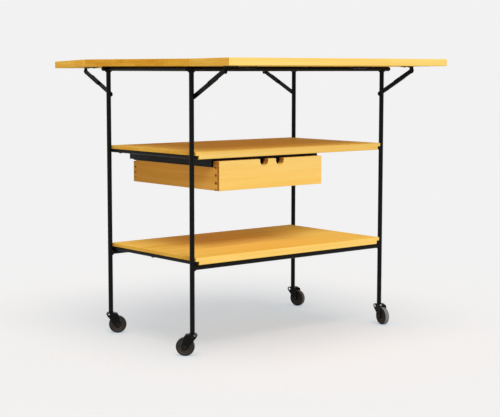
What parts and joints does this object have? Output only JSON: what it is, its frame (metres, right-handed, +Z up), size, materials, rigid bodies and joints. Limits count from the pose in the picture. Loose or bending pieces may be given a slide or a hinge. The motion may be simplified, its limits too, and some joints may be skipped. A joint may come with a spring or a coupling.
{
  "type": "drop leaf tea trolley",
  "caption": "Tea trolley on swivel casters: round-tube steel frame, wooden shelves, a hanging drawer, and a wooden top with folding leaves on stays.",
  "frame": {"origin": "on the floor under the middle of the opened top, between the legs", "axes": "+X along the top and the long rails, -Y towards the drawer front, +Z up"},
  "size_m": [0.768, 0.7935, 0.7639],
  "materials": {
    "board_wood": "satin clear lacquer on light honey wood",
    "drawer_wood": "satin clear lacquer on light honey wood",
    "black_tube_steel": "satin black paint",
    "black_sheet_steel": "satin black paint",
    "screw_steel": "dark oxide",
    "dark_zinc": "dull zinc",
    "wheel_plastic": "moulded dark brown disc with a grey tread"
  },
  "bodies": {
    "frame": {"caster_sockets": "dark_zinc", "centre_panel": "board_wood", "drawer_runner_left": "black_sheet_steel", "drawer_runner_right": "black_sheet_steel", "frame_screws": "screw_steel", "hinge_fixed_plates": "black_sheet_steel", "hinge_pins": "dark_zinc", "leg_front_left": "black_tube_steel", "leg_front_right": "black_tube_steel", "leg_rear_left": "black_tube_steel", "leg_rear_right": "black_tube_steel", "lower_rail_front": "black_tube_steel", "lower_rail_rear": "black_tube_steel", "lower_shelf": "board_wood", "lower_shelf_rail_left": "black_tube_steel", "lower_shelf_rail_right": "black_tube_steel", "middle_shelf": "board_wood", "middle_shelf_rail_left": "black_tube_steel", "middle_shelf_rail_right": "black_tube_steel", "runner_crossbars": "black_sheet_steel", "small_screws": "screw_steel", "stay_leg_pivots": "black_sheet_steel", "top_end_rail_left": "black_tube_steel", "top_end_rail_right": "black_tube_steel", "top_rail_front": "black_tube_steel", "top_rail_rear": "black_tube_steel"},
    "front_leaf": {"front_leaf": "board_wood", "front_leaf_hinge_plates": "black_sheet_steel", "front_leaf_stay_brackets": "black_sheet_steel", "front_leaf_screws": "screw_steel"},
    "stay_lower_arm_front_left": {"stay_lower_arm_front_left": "black_sheet_steel"},
    "stay_upper_arm_front_left": {"stay_upper_arm_front_left": "black_sheet_steel"},
    "stay_lower_arm_front_right": {"stay_lower_arm_front_right": "black_sheet_steel"},
    "stay_upper_arm_front_right": {"stay_upper_arm_front_right": "black_sheet_steel"},
    "rear_leaf": {"rear_leaf": "board_wood", "rear_leaf_hinge_plates": "black_sheet_steel", "rear_leaf_stay_brackets": "black_sheet_steel", "rear_leaf_screws": "screw_steel"},
    "stay_lower_arm_rear_left": {"stay_lower_arm_rear_left": "black_sheet_steel"},
    "stay_upper_arm_rear_left": {"stay_upper_arm_rear_left": "black_sheet_steel"},
    "stay_lower_arm_rear_right": {"stay_lower_arm_rear_right": "black_sheet_steel"},
    "stay_upper_arm_rear_right": {"stay_upper_arm_rear_right": "black_sheet_steel"},
    "drawer": {"drawer_back": "drawer_wood", "drawer_bottom": "drawer_wood", "drawer_front": "drawer_wood", "drawer_hangers": "black_sheet_steel", "drawer_side_left": "drawer_wood", "drawer_side_right": "drawer_wood"},
    "caster_fork_front_left": {"caster_fork_front_left": "black_sheet_steel", "caster_axle_front_left": "dark_zinc"},
    "caster_wheel_front_left": {"caster_wheel_front_left": "wheel_plastic"},
    "caster_fork_front_right": {"caster_fork_front_right": "black_sheet_steel", "caster_axle_front_right": "dark_zinc"},
    "caster_wheel_front_right": {"caster_wheel_front_right": "wheel_plastic"},
    "caster_fork_rear_left": {"caster_fork_rear_left": "black_sheet_steel", "caster_axle_rear_left": "dark_zinc"},
    "caster_wheel_rear_left": {"caster_wheel_rear_left": "wheel_plastic"},
    "caster_fork_rear_right": {"caster_fork_rear_right": "black_sheet_steel", "caster_axle_rear_right": "dark_zinc"},
    "caster_wheel_rear_right": {"caster_wheel_rear_right": "wheel_plastic"}
  },
  "joints": [
    {"name": "front_leaf_hinge", "type": "hinge", "parent": "frame", "child": "front_leaf", "pos_m": [0, -0.242, 0.74], "axis": [1, 0, 0], "range_deg": [0, 90.7]},
    {"name": "stay_lower_arm_front_left_pivot", "type": "hinge", "parent": "frame", "child": "stay_lower_arm_front_left", "pos_m": [-0.33175, -0.189, 0.6665], "axis": [1, 0, 0], "range_deg": [0, 100.53]},
    {"name": "stay_upper_arm_front_left_pivot", "type": "hinge", "parent": "front_leaf", "child": "stay_upper_arm_front_left", "pos_m": [-0.33405, -0.31659, 0.73291], "axis": [-1, 0, 0], "range_deg": [0, 133.69]},
    {"name": "stay_lower_arm_front_right_pivot", "type": "hinge", "parent": "frame", "child": "stay_lower_arm_front_right", "pos_m": [0.33175, -0.189, 0.6665], "axis": [1, 0, 0], "range_deg": [0, 100.53]},
    {"name": "stay_upper_arm_front_right_pivot", "type": "hinge", "parent": "front_leaf", "child": "stay_upper_arm_front_right", "pos_m": [0.32945, -0.31659, 0.73291], "axis": [-1, 0, 0], "range_deg": [0, 133.69]},
    {"name": "rear_leaf_hinge", "type": "hinge", "parent": "frame", "child": "rear_leaf", "pos_m": [0, 0.242, 0.74], "axis": [-1, 0, 0], "range_deg": [0, 88]},
    {"name": "stay_lower_arm_rear_left_pivot", "type": "hinge", "parent": "frame", "child": "stay_lower_arm_rear_left", "pos_m": [-0.33175, 0.189, 0.6665], "axis": [-1, 0, 0], "range_deg": [0, 99.1]},
    {"name": "stay_upper_arm_rear_left_pivot", "type": "hinge", "parent": "rear_leaf", "child": "stay_upper_arm_rear_left", "pos_m": [-0.33405, 0.31618, 0.7294], "axis": [1, 0, 0], "range_deg": [0, 131.91]},
    {"name": "stay_lower_arm_rear_right_pivot", "type": "hinge", "parent": "frame", "child": "stay_lower_arm_rear_right", "pos_m": [0.33175, 0.189, 0.6665], "axis": [-1, 0, 0], "range_deg": [0, 99.1]},
    {"name": "stay_upper_arm_rear_right_pivot", "type": "hinge", "parent": "rear_leaf", "child": "stay_upper_arm_rear_right", "pos_m": [0.32945, 0.31618, 0.7294], "axis": [1, 0, 0], "range_deg": [0, 131.91]},
    {"name": "drawer_slide", "type": "slide", "parent": "frame", "child": "drawer", "axis": [0, -1, 0], "range_m": [0, 0.26]},
    {"name": "caster_swivel_front_left", "type": "hinge", "parent": "frame", "child": "caster_fork_front_left", "pos_m": [-0.34, -0.189, 0.0606], "axis": [0, 0, 1], "continuous": true},
    {"name": "wheel_spin_front_left", "type": "hinge", "parent": "caster_fork_front_left", "child": "caster_wheel_front_left", "pos_m": [-0.35331, -0.17615, 0.0245], "axis": [-0.6947, -0.7193, 0], "continuous": true},
    {"name": "caster_swivel_front_right", "type": "hinge", "parent": "frame", "child": "caster_fork_front_right", "pos_m": [0.34, -0.189, 0.0606], "axis": [0, 0, 1], "continuous": true},
    {"name": "wheel_spin_front_right", "type": "hinge", "parent": "caster_fork_front_right", "child": "caster_wheel_front_right", "pos_m": [0.33679, -0.20722, 0.0245], "axis": [0.9848, -0.1736, 0], "continuous": true},
    {"name": "caster_swivel_rear_left", "type": "hinge", "parent": "frame", "child": "caster_fork_rear_left", "pos_m": [-0.34, 0.189, 0.0606], "axis": [0, 0, 1], "continuous": true},
    {"name": "wheel_spin_rear_left", "type": "hinge", "parent": "caster_fork_rear_left", "child": "caster_wheel_rear_left", "pos_m": [-0.32367, 0.18031, 0.0245], "axis": [0.4695, 0.8829, 0], "continuous": true},
    {"name": "caster_swivel_rear_right", "type": "hinge", "parent": "frame", "child": "caster_fork_rear_right", "pos_m": [0.34, 0.189, 0.0606], "axis": [0, 0, 1], "continuous": true},
    {"name": "wheel_spin_rear_right", "type": "hinge", "parent": "caster_fork_rear_right", "child": "caster_wheel_rear_right", "pos_m": [0.34353, 0.17084, 0.0245], "axis": [0.9816, 0.1908, 0], "continuous": true}
  ],
  "couplings": [
    {"joint": "stay_lower_arm_front_left_pivot", "follows": "front_leaf_hinge", "ratio": 1.1084},
    {"joint": "stay_upper_arm_front_left_pivot", "follows": "front_leaf_hinge", "ratio": 1.474},
    {"joint": "stay_lower_arm_front_right_pivot", "follows": "front_leaf_hinge", "ratio": 1.1084},
    {"joint": "stay_upper_arm_front_right_pivot", "follows": "front_leaf_hinge", "ratio": 1.474},
    {"joint": "stay_lower_arm_rear_left_pivot", "follows": "rear_leaf_hinge", "ratio": 1.1261},
    {"joint": "stay_upper_arm_rear_left_pivot", "follows": "rear_leaf_hinge", "ratio": 1.499},
    {"joint": "stay_lower_arm_rear_right_pivot", "follows": "rear_leaf_hinge", "ratio": 1.1261},
    {"joint": "stay_upper_arm_rear_right_pivot", "follows": "rear_leaf_hinge", "ratio": 1.499}
  ]
}
